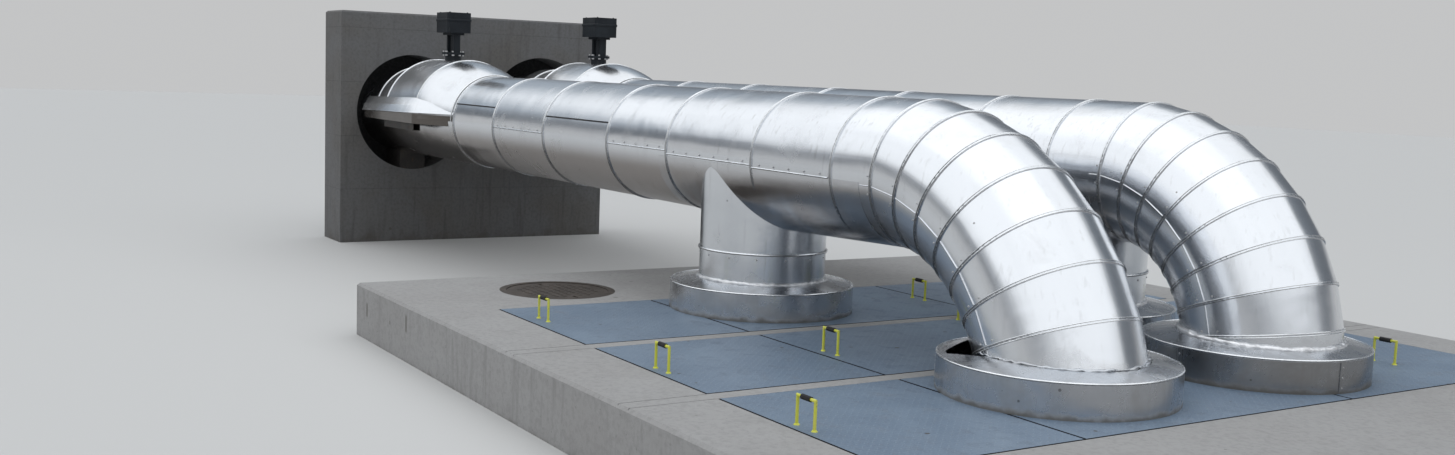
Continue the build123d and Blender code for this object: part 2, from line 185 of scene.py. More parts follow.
# soft patches of dirt, tone or polish
def makePatches():
    values = {"Scale": 3.0, "Low": 0.45, "High": 0.7}
    tree, source, result = newGroup("patches", ("Vector",), values, ("Mask",))
    blots = cloud(tree, source["Vector"], source["Scale"], 6.0, 0.62, 0.4)
    tree.links.new(between(tree, blots, source["Low"], source["High"]), result["Mask"])
    return tree


# marks that water leaves as it runs down
def makeRuns():
    values = {"Width": 0.03, "Length": 0.5, "Low": 0.5, "High": 0.75}
    tree, source, result = newGroup("runs", ("Vector",), values, ("Mask",))
    across = maths(tree, "DIVIDE", 1.0, source["Width"])
    down = maths(tree, "DIVIDE", 1.0, source["Length"])
    scale = join(tree, across, across, down)
    factors = {0: source["Vector"], 1: scale}
    place = put(tree, "ShaderNodeVectorMath", factors, operation="MULTIPLY").outputs[0]
    blots = cloud(tree, place, 1.0, 4.0, 0.55)
    tree.links.new(between(tree, blots, source["Low"], source["High"]), result["Mask"])
    return tree


# small scattered marks: pits, grit and fallen bits
def makeSpecks():
    values = {"Scale": 40.0, "Radius": 0.25, "Share": 0.3}
    tree, source, result = newGroup("specks", ("Vector",), values, ("Mask",))
    grain = {"Vector": source["Vector"], "Scale": 90.0, "Detail": 2.0}
    bent = put(tree, "ShaderNodeTexNoise", grain).outputs[1]
    shifted = put(
        tree, "ShaderNodeVectorMath", {0: bent, 1: (0.006, 0.006, 0.006), 2: source["Vector"]},
        operation="MULTIPLY_ADD",
    )
    cells = put(tree, "ShaderNodeTexVoronoi", {"Vector": shifted.outputs[0], "Scale": source["Scale"]})
    chance = put(tree, "ShaderNodeSeparateColor", {0: cells.outputs[1]})
    chosen = maths(tree, "LESS_THAN", chance.outputs[0], source["Share"])
    size = times(tree, source["Radius"], chance.outputs[1])
    inside = maths(tree, "LESS_THAN", cells.outputs[0], size)
    tree.links.new(times(tree, chosen, inside), result["Mask"])
    return tree


# dirt and damp that gather towards a part's foot
def makeFootDirt():
    values = {"Foot": 0.0, "Reach": 0.1, "Scale": 8.0}
    tree, source, result = newGroup("footDirt", ("Vector",), values, ("Mask",))
    height = split(tree, source["Vector"])[2]
    above = maths(tree, "DIVIDE", minus(tree, height, source["Foot"]), source["Reach"])
    blots = cloud(tree, source["Vector"], source["Scale"], 5.0)
    ragged = plus(tree, above, maths(tree, "MULTIPLY_ADD", blots, 1.6, 0.5))
    tree.links.new(between(tree, ragged, 1.75, 0.7), result["Mask"])
    return tree


# rolled sheet: slow waves, faint rolling lines and a tone for each sheet
def makeRolledSheet():
    outputs = ("Height", "Bands", "Lines", "Tone")
    values = {"Along": 0.0, "Sheet": 0.0}
    tree, source, result = newGroup("rolledSheet", ("Vector", "Across"), values, outputs)
    x, y, z = split(tree, source["Vector"])
    shift = times(tree, source["Sheet"], 7.31)
    place = join(tree, plus(tree, x, shift), y, z)
    slowWave = cloud(tree, place, 2.6, 1.5, 0.45, 0.5)
    quickWave = cloud(tree, place, 9.0, 1.0, 0.4)
    height = plus(tree, slowWave, times(tree, quickWave, 0.07))
    # the rollers leave flats that run along the pipe, different on each sheet; their bands also darken the
    # jackets' colour as painted reflection streaks
    around = split(tree, source["Across"])
    drift = times(tree, source["Along"], 0.35)
    flats = join(
        tree, times(tree, around[0], 12.0), times(tree, around[1], 12.0),
        plus(tree, shift, drift),
    )
    bands = cloud(tree, flats, 1.0, 2.5)
    lined = join(
        tree, times(tree, source["Along"], 55.0), times(tree, y, 1.3),
        times(tree, z, 1.3),
    )
    tone = put(tree, "ShaderNodeTexWhiteNoise", {"W": source["Sheet"]}, noise_dimensions="1D").outputs[0]
    tree.links.new(plus(tree, height, times(tree, bands, 0.22)), result["Height"])
    tree.links.new(bands, result["Bands"])
    tree.links.new(cloud(tree, lined, 1.0, 5.0), result["Lines"])
    tree.links.new(tone, result["Tone"])
    return tree


patches = makePatches()
runs = makeRuns()
specks = makeSpecks()
footDirt = makeFootDirt()
rolledSheet = makeRolledSheet()
print("effects made")


# a mask's values come in the order of its group's inputs
def mask(tree, group, coords, *values):
    return put(tree, "ShaderNodeGroup", dict(enumerate((coords, *values))), node_tree=group).outputs[0]


def startMaterial(name, metal=0.0):
    made = bpy.data.materials.new(name)
    made.use_nodes = True
    tree = made.node_tree
    shader = tree.nodes["Principled BSDF"]
    shader.inputs["Metallic"].default_value = metal
    return made, tree, shader, put(tree, "ShaderNodeTexCoord").outputs["Object"]


def connect(tree, shader, colour=None, rough=None, normal=None, metal=None):
    feeds = {"Base Color": colour, "Roughness": rough, "Normal": normal, "Metallic": metal}
    for socket, value in feeds.items():
        if value is not None:
            tree.links.new(value, shader.inputs[socket])


# bright sheet jackets; a share says how strongly a mark shows
jacketLook = {
    "sheet": (0.785, 0.805, 0.835, 1),
    "dullSheet": (0.68, 0.70, 0.73, 1),
    "toneShare": 0.28,
    "bandShare": 0.3,
    "smudge": (0.43, 0.43, 0.43, 1),
    "smudgeShare": 0.22,
    "dust": (0.50, 0.48, 0.45, 1),
    "dustShare": 0.35,
    "dampShare": 0.5,
    "grit": (0.10, 0.09, 0.08, 1),
    "gritShare": 0.6,
    # the undersides' dark brown is partly grime and partly a painted reflection of dark ground below
    "grimeAndPaintedReflection": (0.19, 0.155, 0.13, 1),
    "underside": {"run": 0.8, "tee": 0.8, "hood": 0.8, "elbow": 0.3, "column": 0.0},
    "streaks": {"run": 0.16, "tee": 0.3, "hood": 0.16, "elbow": 0.16, "column": 0.3},
    # the hood's dark brown below its ledge is painted shade
    "hoodPaintedShade": (0.115, 0.098, 0.085, 1),
    "columnGrey": (0.40, 0.43, 0.465, 1),
    "waveDepth": 0.0055,
    "rough": (0.165, 0.205),
}


def jacketMaterial(name, kind, pipe, foot):
    made, tree, shader, coords = startMaterial(name, 1.0)
    look = jacketLook
    x, y, z = split(tree, coords)
    sideways = minus(tree, y, pipe["y"])
    bendStart = site["elbowX"] - pipe["bend"]
    gore = math.radians(pipe["gore"])
    if kind == "elbow":
        forward = minus(tree, x, bendStart)
        upwards = minus(tree, z, pipe["z"] - pipe["bend"])
        turn = maths(tree, "ARCTAN2", forward, upwards)
        along = plus(tree, times(tree, turn, pipe["bend"]), bendStart)
        reach = put(tree, "ShaderNodeVectorMath", {0: join(tree, forward, upwards)}, operation="LENGTH")
        second = minus(tree, reach.outputs["Value"], pipe["bend"])
        gores = maths(tree, "FLOOR", plus(tree, maths(tree, "DIVIDE", turn, gore), 0.5))
        sheet = plus(tree, gores, len(pipe["joints"]))
    elif kind == "column":
        along, second = z, x
        sheet = maths(tree, "GREATER_THAN", z, site["columnSeam"])
    else:
        along = x
        second = minus(tree, z, pipe["z"])
        sheet = 0.0
        for back in pipe["joints"]:
            sheet = plus(tree, maths(tree, "GREATER_THAN", x, site["elbowX"] - back), sheet)
    sockets = {"Vector": coords, "Across": join(tree, sideways, second), "Along": along, "Sheet": sheet}
    surface = put(tree, "ShaderNodeGroup", sockets, node_tree=rolledSheet).outputs
    smudge = mask(tree, patches, coords, 4.5, 0.52, 0.78)
    haze = mask(tree, patches, coords, 1.7, 0.4, 0.72)
    drip = mask(tree, runs, coords, 0.028, 0.6, 0.56, 0.74)
    grit = mask(tree, specks, coords, 22.0, 0.13, 0.06)
    damp = mask(tree, footDirt, coords, foot, 0.22, 7.0)
    upward = facing(tree)[2]
    top = between(tree, upward, 0.55, 0.98)
    under = between(tree, upward, 0.02, -0.4)
    # painted reflection: the roller bands tint the sheet darker, besides their relief
    banded = between(tree, surface["Bands"], 0.4, 0.75, 0.0, look["bandShare"])
    colour = fade(tree, surface["Tone"], look["toneShare"], look["sheet"], look["dullSheet"])
    colour = tint(tree, banded, colour, look["dullSheet"])
    colour = fade(tree, smudge, look["smudgeShare"], colour, look["smudge"])
    colour = fade(tree, drip, look["streaks"][kind], colour, look["smudge"])
    colour = fade(tree, times(tree, haze, top), look["dustShare"], colour, look["dust"])
    reflectionGrimeShare = look["underside"][kind]
    if kind == "elbow":
        reflectionGrimeShare = between(tree, turn, 0.0, gore * 2.5, look["underside"]["run"], reflectionGrimeShare)
    # downward faces go dark brown: partly grime, partly a painted reflection of dark ground below
    colour = fade(tree, under, reflectionGrimeShare, colour, look["grimeAndPaintedReflection"])
    colour = fade(tree, damp, look["dampShare"], colour, look["dust"])
    colour = fade(tree, grit, look["gritShare"], colour, look["grit"])
    if kind in ("tee", "column"):
        # soft upright grey bands on the column's sheets: painted reflection streaks
        upright = put(tree, "ShaderNodeMapping", {"Vector": coords, "Scale": (6.0, 6.0, 0.35)}).outputs[0]
        band = between(tree, cloud(tree, upright, 1.0, 1.5), 0.35, 0.65, 0.2, 0.75)
        low = between(tree, z, pipe["z"] - 0.05, pipe["z"] - 0.3) if kind == "tee" else 1.0
        colour = fade(tree, band, low, colour, look["columnGrey"])
    # the hood below its ledge turns dark brown: painted shade under the ledge
    if kind == "hood":
        shaded = between(tree, z, pipe["z"] + 0.05, pipe["z"] + 0.035, 0.0, 0.95)
        colour = tint(tree, shaded, colour, look["hoodPaintedShade"])
    smooth, coarse = look["rough"]
    rough = maths(tree, "MULTIPLY_ADD", surface["Lines"], coarse - smooth, smooth)
    rough = maths(tree, "MULTIPLY_ADD", smudge, 0.1, rough)
    rough = plus(tree, rough, times(tree, surface["Tone"], 0.07))
    rough = plus(tree, rough, times(tree, damp, 0.18))
    connect(tree, shader, colour, rough, relief(tree, surface["Height"], 1.0, look["waveDepth"]))
    return made


# folded and rolled edges of pale metal, with painted shade on their undersides
edgeLook = {
    "bright": (0.86, 0.88, 0.90, 1),
    "worn": (0.62, 0.64, 0.66, 1),
    "wornShare": 0.6,
    # under: the colour of the painted shade on the edges' lower sides
    "under": (0.13, 0.12, 0.11, 1),
    "paintedShadeShare": 0.85,
    "rough": (0.26, 0.4),
}


def edgeMaterial():
    made, tree, shader, coords = startMaterial("brightEdge", 1.0)
    wear = mask(tree, patches, coords, 14.0, 0.45, 0.7)
    # painted shade: faces that look down are darkened towards the under colour
    under = between(tree, facing(tree)[2], 0.3, -0.3, 0.0, edgeLook["paintedShadeShare"])
    colour = fade(tree, wear, edgeLook["wornShare"], edgeLook["bright"], edgeLook["worn"])
    colour = tint(tree, under, colour, edgeLook["under"])
    connect(tree, shader, colour, between(tree, wear, 0.0, 1.0, *edgeLook["rough"]))
    return made


# foil over the sealant, and the duller sheet of the foot rings and flashings
foilLook = {
    "foil": (0.82, 0.83, 0.85, 1),
    "dirt": (0.42, 0.41, 0.40, 1),
    "dirtShare": 0.4,
    "crumple": 0.004,
    "metal": 0.9,
    "rough": (0.30, 0.5),
}
ringLook = {
    "sheet": (0.56, 0.585, 0.62, 1),
    "stain": (0.38, 0.37, 0.36, 1),
    "dullSheet": (0.36, 0.37, 0.385, 1),
    "dullStain": (0.23, 0.21, 0.19, 1),
    "stainShare": 0.5,
    "dripShare": 0.14,
    "chalk": (0.66, 0.66, 0.65, 1),
    "chalkShare": 0.2,
    "footDirt": (0.085, 0.08, 0.07, 1),
    "footShare": 0.85,
    "gritShare": 0.6,
    "waveDepth": 0.006,
}


def sealantMaterial():
    made, tree, shader, coords = startMaterial("sealantFoil", foilLook["metal"])
    crumple = cloud(tree, coords, 75.0, 3.0, distortion=1.2)
    dirt = mask(tree, patches, coords, 9.0, 0.45, 0.7)
    colour = fade(tree, dirt, foilLook["dirtShare"], foilLook["foil"], foilLook["dirt"])
    rough = between(tree, dirt, 0.0, 1.0, *foilLook["rough"])
    connect(tree, shader, colour, rough, relief(tree, crumple, 0.9, foilLook["crumple"]))
    return made


def flashingMaterial(name, sheet, stain):
    made, tree, shader, coords = startMaterial(name)
    look = ringLook
    stained = mask(tree, patches, coords, 5.0, 0.38, 0.72)
    chalk = mask(tree, patches, coords, 13.0, 0.55, 0.72)
    drip = mask(tree, runs, coords, 0.035, 0.35, 0.5, 0.72)
    damp = mask(tree, footDirt, coords, site["slabTop"] + 0.02, 0.03, 14.0)
    grit = mask(tree, specks, coords, 30.0, 0.2, 0.18)
    colour = fade(tree, stained, look["stainShare"], look[sheet], look[stain])
    colour = fade(tree, chalk, look["chalkShare"], colour, look["chalk"])
    colour = fade(tree, drip, look["dripShare"], colour, look[stain])
    colour = fade(tree, damp, look["footShare"], colour, look["footDirt"])
    colour = fade(tree, grit, look["gritShare"], colour, look["footDirt"])
    rough = maths(tree, "MULTIPLY_ADD", stained, 0.12, 0.24)
    rough = plus(tree, rough, times(tree, damp, 0.3))
    metal = minus(tree, 1.0, times(tree, damp, 0.8))
    waves = relief(tree, cloud(tree, coords, 5.0, 2.0), 1.0, look["waveDepth"])
    fine = relief(tree, cloud(tree, coords, 160.0, 3.0), 0.12, 0.0005, Normal=waves)
    connect(tree, shader, colour, rough, fine, metal)
    return made


# cast concrete: the pale slab and the older wall; a drip mark has its x, its z and half its length
slabLook = {
    "cast": (0.315, 0.313, 0.312, 1),
    "warm": (0.295, 0.29, 0.287, 1),
    "dark": (0.20, 0.198, 0.195, 1),
    "soil": (0.125, 0.118, 0.108, 1),
    "soilReach": 0.06,
    "dripMarks": ((-0.259, 0.185, 0.05), (0.441, 0.219, 0.06)),
}
# the wall's colours are darker than its concrete alone: partly old concrete, partly painted shade
wallLook = {
    "cast": (0.122, 0.123, 0.127, 1),
    "warm": (0.115, 0.109, 0.102, 1),
    "dark": (0.065, 0.064, 0.062, 1),
    "soil": (0.07, 0.062, 0.05, 1),
    "soilReach": 0.25,
    "dripMarks": (),
}
concreteShares = {
    "grain": 0.35,
    "blot": 0.3,
    "drip": 0.5,
    "damp": 0.8,
    "pits": 0.6,
    "bits": 0.55,
    "marks": 0.8,
    "ridges": 0.35,
}


def concreteMaterial(name, look, hasRidges):
    made, tree, shader, coords = startMaterial(name)
    share = concreteShares
    place = split(tree, coords)
    level = between(tree, maths(tree, "ABSOLUTE", facing(tree)[2]), 0.3, 0.8)
    side = minus(tree, 1.0, level)
    patchy = mask(tree, patches, coords, 1.4, 0.35, 0.75)
    blot = mask(tree, patches, coords, 7.0, 0.5, 0.8)
    drip = mask(tree, runs, coords, 0.05, 0.55, 0.5, 0.75)
    pits = mask(tree, specks, coords, 34.0, 0.2, 0.22)
    bits = mask(tree, specks, coords, 7.0, 0.13, 0.3)
    damp = mask(tree, footDirt, coords, 0.0, look["soilReach"], 9.0)
    sand = cloud(tree, coords, 260.0, 4.0, 0.7)
    grain = cloud(tree, coords, 38.0, 5.0, 0.6)
    colour = tint(tree, patchy, look["cast"], look["warm"])
    colour = tint(tree, between(tree, grain, 0.42, 0.68, 0.0, share["grain"]), colour, look["dark"])
    colour = fade(tree, blot, share["blot"], colour, look["dark"])
    colour = fade(tree, times(tree, drip, side), share["drip"], colour, look["dark"])
    colour = fade(tree, damp, share["damp"], colour, look["soil"])
    colour = fade(tree, pits, share["pits"], colour, look["dark"])
    colour = fade(tree, bits, share["bits"], colour, look["soil"])
    sandy = between(tree, sand, 0.35, 0.65, 0.0, 0.3)
    colour = tint(tree, sandy, colour, (0.53, 0.53, 0.53, 1), "SOFT_LIGHT")
    height = plus(tree, grain, times(tree, sand, 0.4))
    height = minus(tree, height, times(tree, pits, 0.9))
    for markX, markZ, long in look["dripMarks"]:
        beside = maths(tree, "ABSOLUTE", minus(tree, place[0], markX))
        above = maths(tree, "ABSOLUTE", minus(tree, place[2], markZ))
        mark = times(tree, between(tree, beside, 0.02, 0.008), between(tree, above, long, long * 0.6))
        colour = fade(tree, times(tree, mark, side), share["marks"], colour, look["soil"])
    if hasRidges:
        # faint ridges that the form boards left
        ridge = between(tree, maths(tree, "PINGPONG", place[2], 0.25), 0.006, 0.0)
        height = plus(tree, height, ridge)
        colour = fade(tree, ridge, share["ridges"], colour, look["dark"])
    rough = between(tree, patchy, 0.0, 1.0, 0.78, 0.9)
    connect(tree, shader, colour, rough, relief(tree, height, 0.7, 0.0025))
    return made


# blue-grey checker plate of the covers
coverLook = {
    "paint": (0.118, 0.168, 0.238, 1),
    "worn": (0.205, 0.272, 0.35, 1),
    "wornShare": 0.5,
    "grainShare": 0.4,
    "dirt": (0.14, 0.14, 0.145, 1),
    "scuffShare": 0.28,
    "gritShare": 0.5,
    "bits": (0.045, 0.035, 0.025, 1),
    "bitsShare": 0.85,
    # edge: the near black of the covers' sides, painted shade in the gaps
    "edge": (0.012, 0.013, 0.016, 1),
    "pitch": 0.028,
    "lozenge": (0.42, 0.13),
}


def coverMaterial():
    made, tree, shader, coords = startMaterial("checkerPlate")
    look = coverLook
    x, y = split(tree, coords)[:2]
    top = between(tree, facing(tree)[2], 0.7, 0.9)
    # raised lozenges, every other one turned a quarter
    scale = 0.7071 / look["pitch"]
    first = times(tree, plus(tree, x, y), scale)
    second = times(tree, minus(tree, x, y), scale)
    parity = plus(tree, maths(tree, "FLOOR", first), maths(tree, "FLOOR", second))
    odd = maths(tree, "GREATER_THAN", maths(tree, "FRACT", times(tree, parity, 0.5)), 0.25)
    u, v = (minus(tree, maths(tree, "FRACT", place), 0.5) for place in (first, second))
    spans = []
    for place, half in zip((choose(tree, odd, u, v), choose(tree, odd, v, u)), look["lozenge"]):
        spans.append(maths(tree, "POWER", maths(tree, "DIVIDE", maths(tree, "ABSOLUTE", place), half), 2.0))
    lozenge = times(tree, between(tree, plus(tree, *spans), 1.1, 0.55), top)
    scuff = mask(tree, patches, coords, 9.0, 0.5, 0.72)
    grain = cloud(tree, coords, 150.0, 4.0, 0.65)
    faded = mask(tree, patches, coords, 1.6, 0.4, 0.75)
    colour = fade(tree, faded, look["wornShare"], look["paint"], look["worn"])
    colour = fade(tree, lozenge, look["wornShare"], colour, look["worn"])
    colour = fade(tree, scuff, look["scuffShare"], colour, look["dirt"])
    colour = tint(tree, between(tree, grain, 0.45, 0.7, 0.0, look["grainShare"]), colour, look["worn"])
    grit = mask(tree, specks, coords, 70.0, 0.33, 0.35)
    bits = mask(tree, specks, coords, 9.0, 0.13, 0.45)
    colour = fade(tree, grit, look["gritShare"], colour, look["dirt"])
    colour = fade(tree, bits, look["bitsShare"], colour, look["bits"])
    # everything but the tops goes near black: painted shade in the gaps between the covers
    colour = tint(tree, top, look["edge"], colour)
    height = plus(tree, lozenge, times(tree, grain, 0.35))
    rough = maths(tree, "MULTIPLY_ADD", scuff, 0.2, 0.46)
    connect(tree, shader, colour, rough, relief(tree, height, 0.8, 0.0016))
    return made


# dark steel, cast iron, handle paint, rubber and actuator paint:
# paint, worn and rust colours, then roughness, share of wear, depth of grain and scale of the patches
paintLook = {
    "darkPrimedSteel": (
        (0.030, 0.028, 0.027), (0.06, 0.053, 0.046), (0.11, 0.06, 0.035), 0.55, 0.4, 0.0008, 6.0,
    ),
    "lidIron": ((0.060, 0.052, 0.047), (0.10, 0.085, 0.075), (0.12, 0.08, 0.055), 0.68, 0.4, 0.002, 9.0),
    "handleYellow": ((0.60, 0.62, 0.075), (0.68, 0.66, 0.16), (0.20, 0.18, 0.12), 0.42, 0.55, 0.0005, 12.0),
    "gripRubber": ((0.018, 0.018, 0.019), (0.04, 0.04, 0.042), (0.08, 0.078, 0.07), 0.66, 0.4, 0.0008, 30.0),
    "actuatorPaint": (
        (0.010, 0.013, 0.017), (0.022, 0.028, 0.034), (0.06, 0.06, 0.058), 0.42, 0.3, 0.0008, 5.0,
    ),
    "screwSteel": ((0.60, 0.60, 0.61), (0.46, 0.46, 0.46), (0.26, 0.23, 0.20), 0.34, 0.4, 0.0003, 30.0),
    # dark line of the seams and ring laps; on the seams it is painted shade between the bead wires
    "seamMastic": ((0.13, 0.135, 0.145), (0.18, 0.185, 0.19), (0.07, 0.07, 0.07), 0.7, 0.5, 0.001, 20.0),
}


def paintMaterial(name, metal=0.0):
    made, tree, shader, coords = startMaterial(name, metal)
    paint, worn, rust, rough, wearShare, grainDepth, scale = paintLook[name]
    patchy = mask(tree, patches, coords, scale, 0.4, 0.7)
    wear = mask(tree, patches, coords, scale * 6, 0.6, 0.66)
    grit = mask(tree, specks, coords, 90.0, 0.3, 0.3)
    colour = fade(tree, patchy, 0.6, (*paint, 1), (*worn, 1))
    colour = fade(tree, wear, wearShare, colour, (*rust, 1))
    colour = fade(tree, grit, 0.3, colour, (*rust, 1))
    shader.inputs["Specular IOR Level"].default_value = 0.22
    roughness = maths(tree, "MULTIPLY_ADD", wear, 0.25, rough)
    connect(tree, shader, colour, roughness, relief(tree, cloud(tree, coords, 190.0, 4.0), 0.5, grainDepth))
    return made


jackets = {}
dirtFoot = site["slabTop"] + 0.16
for side, pipe in pipes.items():
    for kind in ("run", "tee", "hood", "column", "elbow"):
        jackets[side, kind] = jacketMaterial(side + kind.capitalize() + "Sheet", kind, pipe, dirtFoot)
stainedSheet = flashingMaterial("stainedSheet", "sheet", "stain")
dullSheet = flashingMaterial("dullStainedSheet", "dullSheet", "dullStain")
sealantFoil = sealantMaterial()
slabConcrete = concreteMaterial("slabConcrete", slabLook, False)
wallConcrete = concreteMaterial("wallConcrete", wallLook, True)
checkerPlate = coverMaterial()
darkSteel = paintMaterial("darkPrimedSteel")
castIron = paintMaterial("lidIron")
handlePaint = paintMaterial("handleYellow")
gripRubber = paintMaterial("gripRubber")
actuatorPaint = paintMaterial("actuatorPaint")
screwSteel = paintMaterial("screwSteel", 1.0)
brightEdge = edgeMaterial()
seamMastic = paintMaterial("seamMastic")
print("materials made")

# the first match counts, and what matches nothing is dark steel
nodeFinishes = (
    ("rear_elbow_ring", dullSheet), ("_ring", stainedSheet), ("_flashing", stainedSheet),
    ("cover_handles", handlePaint), ("cover_", checkerPlate), ("manhole", castIron),
    ("handle_grips", gripRubber), ("_wall_seal", gripRubber),
    ("chamber_slab", slabConcrete), ("portal_wall", wallConcrete),
    ("_actuator", actuatorPaint), ("_valve_stand", actuatorPaint),
)


def nodeMaterial(name):
    side, piece = name.split("_", 1)
    kind = "hood" if piece == "valve_hood" else piece.removesuffix("_jacket")
    if (side, kind) in jackets:
        return jackets[side, kind]
    return next((material for part, material in nodeFinishes if part in name), darkSteel)


for name, node in nodes.items():
    if not node.data.materials:
        node.data.materials.append(None)
    for place in node.material_slots:
        place.material = nodeMaterial(name)
print("nodes dressed")


# added pieces
def finishPiece(name, shape, material, sharpAngle=35):
    bmesh.ops.recalc_face_normals(shape, faces=shape.faces)
    data = bpy.data.meshes.new(name)
    shape.to_mesh(data)
    shape.free()
    data.materials.append(material)
    data.shade_smooth()
    data.set_sharp_from_angle(angle=math.radians(sharpAngle))
    piece = addObject(name, data)
    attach(piece, "root")


upright = Vector((0, 0, 1))


def flatways(turned):
    return Vector((math.cos(turned), math.sin(turned), 0))


# a cone or rod whose middle is at the place, along the axis
def addCone(shape, place, axis, depth, radius, topRadius, sides):
    turn = axis.to_track_quat("Z", "Y").to_matrix().to_4x4()
    return bmesh.ops.create_cone(
        shape, cap_ends=True, segments=sides, radius1=radius, radius2=topRadius, depth=depth,
        matrix=Matrix.Translation(place) @ turn,
    )["verts"]


def onPipe(pipe, x, angle, radius):
    turned = math.radians(angle)
    return Vector((x, pipe["y"] - radius * math.cos(turned), pipe["z"] + radius * math.sin(turned)))


def edgesOf(verts):
    return list(dict.fromkeys(edge for vert in verts for edge in vert.link_edges))


def closeEnds(shape):
    bmesh.ops.holes_fill(shape, edges=[edge for edge in shape.edges if edge.is_boundary], sides=8)


def addRing(shape, centre, axis, radius, wire, steps=72, sides=6):
    axis = axis.normalized()
    out = axis.orthogonal().normalized()
    made = bmesh.ops.create_circle(shape, segments=sides, radius=wire)["verts"]
    frameOfRing = Matrix((out, axis, out.cross(axis))).transposed().to_4x4()
    bmesh.ops.transform(shape, matrix=Matrix.Translation(centre + out * radius) @ frameOfRing, verts=made)
    bmesh.ops.spin(
        shape, geom=made + edgesOf(made), cent=centre, axis=axis, angle=math.tau, steps=steps, use_merge=True
    )


def addRod(shape, first, last, wire):
    axis = last - first
    addCone(shape, (first + last) / 2, axis, axis.length, wire, wire, 8)


# each seam's middle and its direction along the elbow
def goreCorners(pipe):
    bend, gore = pipe["bend"], math.radians(pipe["gore"])
    mitre = bend / math.cos(gore / 2)
    found = []
    for step in range(site["goreSeams"]):
        turn = gore / 2 + gore * step
        x = site["elbowX"] - bend + mitre * math.sin(turn)
        z = pipe["z"] - bend + mitre * math.cos(turn)
        found.append((Vector((x, pipe["y"], z)), Vector((math.cos(turn), 0, -math.sin(turn)))))
    return found


# two wires on each seam with a dark ring between them, painted shade of the channel, and one thicker wire on
# the column's
seamLook = {
    "wire": 0.0024,
    "apart": 0.0055,
    "lift": 0.005,
    "gapWire": 0.0026,
    "gapLift": 0.002,
    "columnWire": 0.0065,
    "columnLift": 0.005,
    "columnDrop": 0.004,
}


def seamBeads(side, pipe):
    beads, gaps = bmesh.new(), bmesh.new()
    radius = site["jacketRadius"]
    seams = [
        (Vector((site["elbowX"] - back, pipe["y"], pipe["z"])), Vector((1, 0, 0))) for back in pipe["joints"]
    ]
    columnSeam = Vector((pipe["columnX"], pipe["y"], site["columnSeam"] - seamLook["columnDrop"]))
    columnRadius = site["columnRadius"] + seamLook["columnLift"]
    addRing(beads, columnSeam, upright, columnRadius, seamLook["columnWire"], sides=8)
    for centre, along in seams + goreCorners(pipe):
        for shift in (-seamLook["apart"], seamLook["apart"]):
            addRing(beads, centre + along * shift, along, radius + seamLook["lift"], seamLook["wire"])
        # the dark ring in the channel between the wires is painted shade
        addRing(gaps, centre, along, radius + seamLook["gapLift"], seamLook["gapWire"])
    finishPiece(side + "_seam_beads", beads, brightEdge, 60)
    finishPiece(side + "_seam_shade_ring", gaps, seamMastic, 60)


# longitudinal laps: first and last x, and the angle up the near side; on an elbow, the angle alone.
# The laps in the second list have a dark line along their lower edge, a painted shadow under the lap's edge,
# and the others a folded one
lapLook = {
    "width": 0.032,
    "sheet": 0.0022,
    "lift": 0.0008,
    "foldWire": 0.005,
    "foldLift": 0.001,
    "elbowWire": 0.003,
    "elbowLift": 0.0014,
    "elbowTrim": 0.012,
    "elbowFoot": 0.2,
    "front": ((-2.01, -1.14, 0), (-0.11, 0.64, -1), (0.66, 1.58, -4), (1.6, 2.3, -6)),
    "rear": ((-2.78, -1.87, 0), (-0.88, 0.08, 0), (0.92, 1.8, -4), (1.83, 2.47, 0)),
    # laps with a dark line along their lower edge, painted shadow under the lap's edge
    "frontMastic": ((-2.84, -2.05, 23), (-1.1, -0.15, 19)),
    "rearMastic": ((-1.83, -0.92, 20), (0.1, 0.9, 18)),
    "elbowAngle": {"front": -8, "rear": -1},
}


def bothSides(angle):
    return angle, 180 - angle


def lapPlaces(side, endings=("", "Mastic")):
    laps = [lap for ending in endings for lap in lapLook[side + ending]]
    return [(*lap, around) for lap in laps for around in bothSides(lap[2])]


def longLaps(side, pipe):
    strips, folds, shade_line = bmesh.new(), bmesh.new(), bmesh.new()
    radius = site["jacketRadius"] + lapLook["lift"]
    turned = lapLook["width"] / radius
    for first, last, angle, around in lapPlaces(side):
        ends = [strips.verts.new(onPipe(pipe, x, around, radius)) for x in (first, last)]
        edge = strips.edges.new(ends)
        bmesh.ops.spin(
            strips, geom=ends + [edge], cent=(0, pipe["y"], pipe["z"]), axis=(1, 0, 0),
            angle=-turned if around == angle else turned, steps=3, use_duplicate=False,
        )
    bmesh.ops.recalc_face_normals(strips, faces=strips.faces)
    bmesh.ops.solidify(strips, geom=strips.faces[:], thickness=lapLook["sheet"])
    # the dark rods on the second list's laps are painted shadow; the folds are bright rods
    for shape, ending in ((folds, ""), (shade_line, "Mastic")):
        for first, last, angle, around in lapPlaces(side, (ending,)):
            ends = [onPipe(pipe, x, around, radius + lapLook["foldLift"]) for x in (first, last)]
            addRod(shape, *ends, lapLook["foldWire"])
    finishPiece(side + "_long_laps", strips, jackets[side, "run"])
    finishPiece(side + "_lap_folds", folds, brightEdge)
    finishPiece(side + "_lap_shade_line", shade_line, gripRubber)


# the seams lie on mitre planes, where the jacket is a little wider than round
def onGore(pipe, centre, along, around, radius):
    turned = math.radians(around)
    up = Vector((-along.z, 0, along.x)) / math.cos(math.radians(pipe["gore"] / 2))
    return centre + Vector((0, -1, 0)) * radius * math.cos(turned) + up * radius * math.sin(turned)


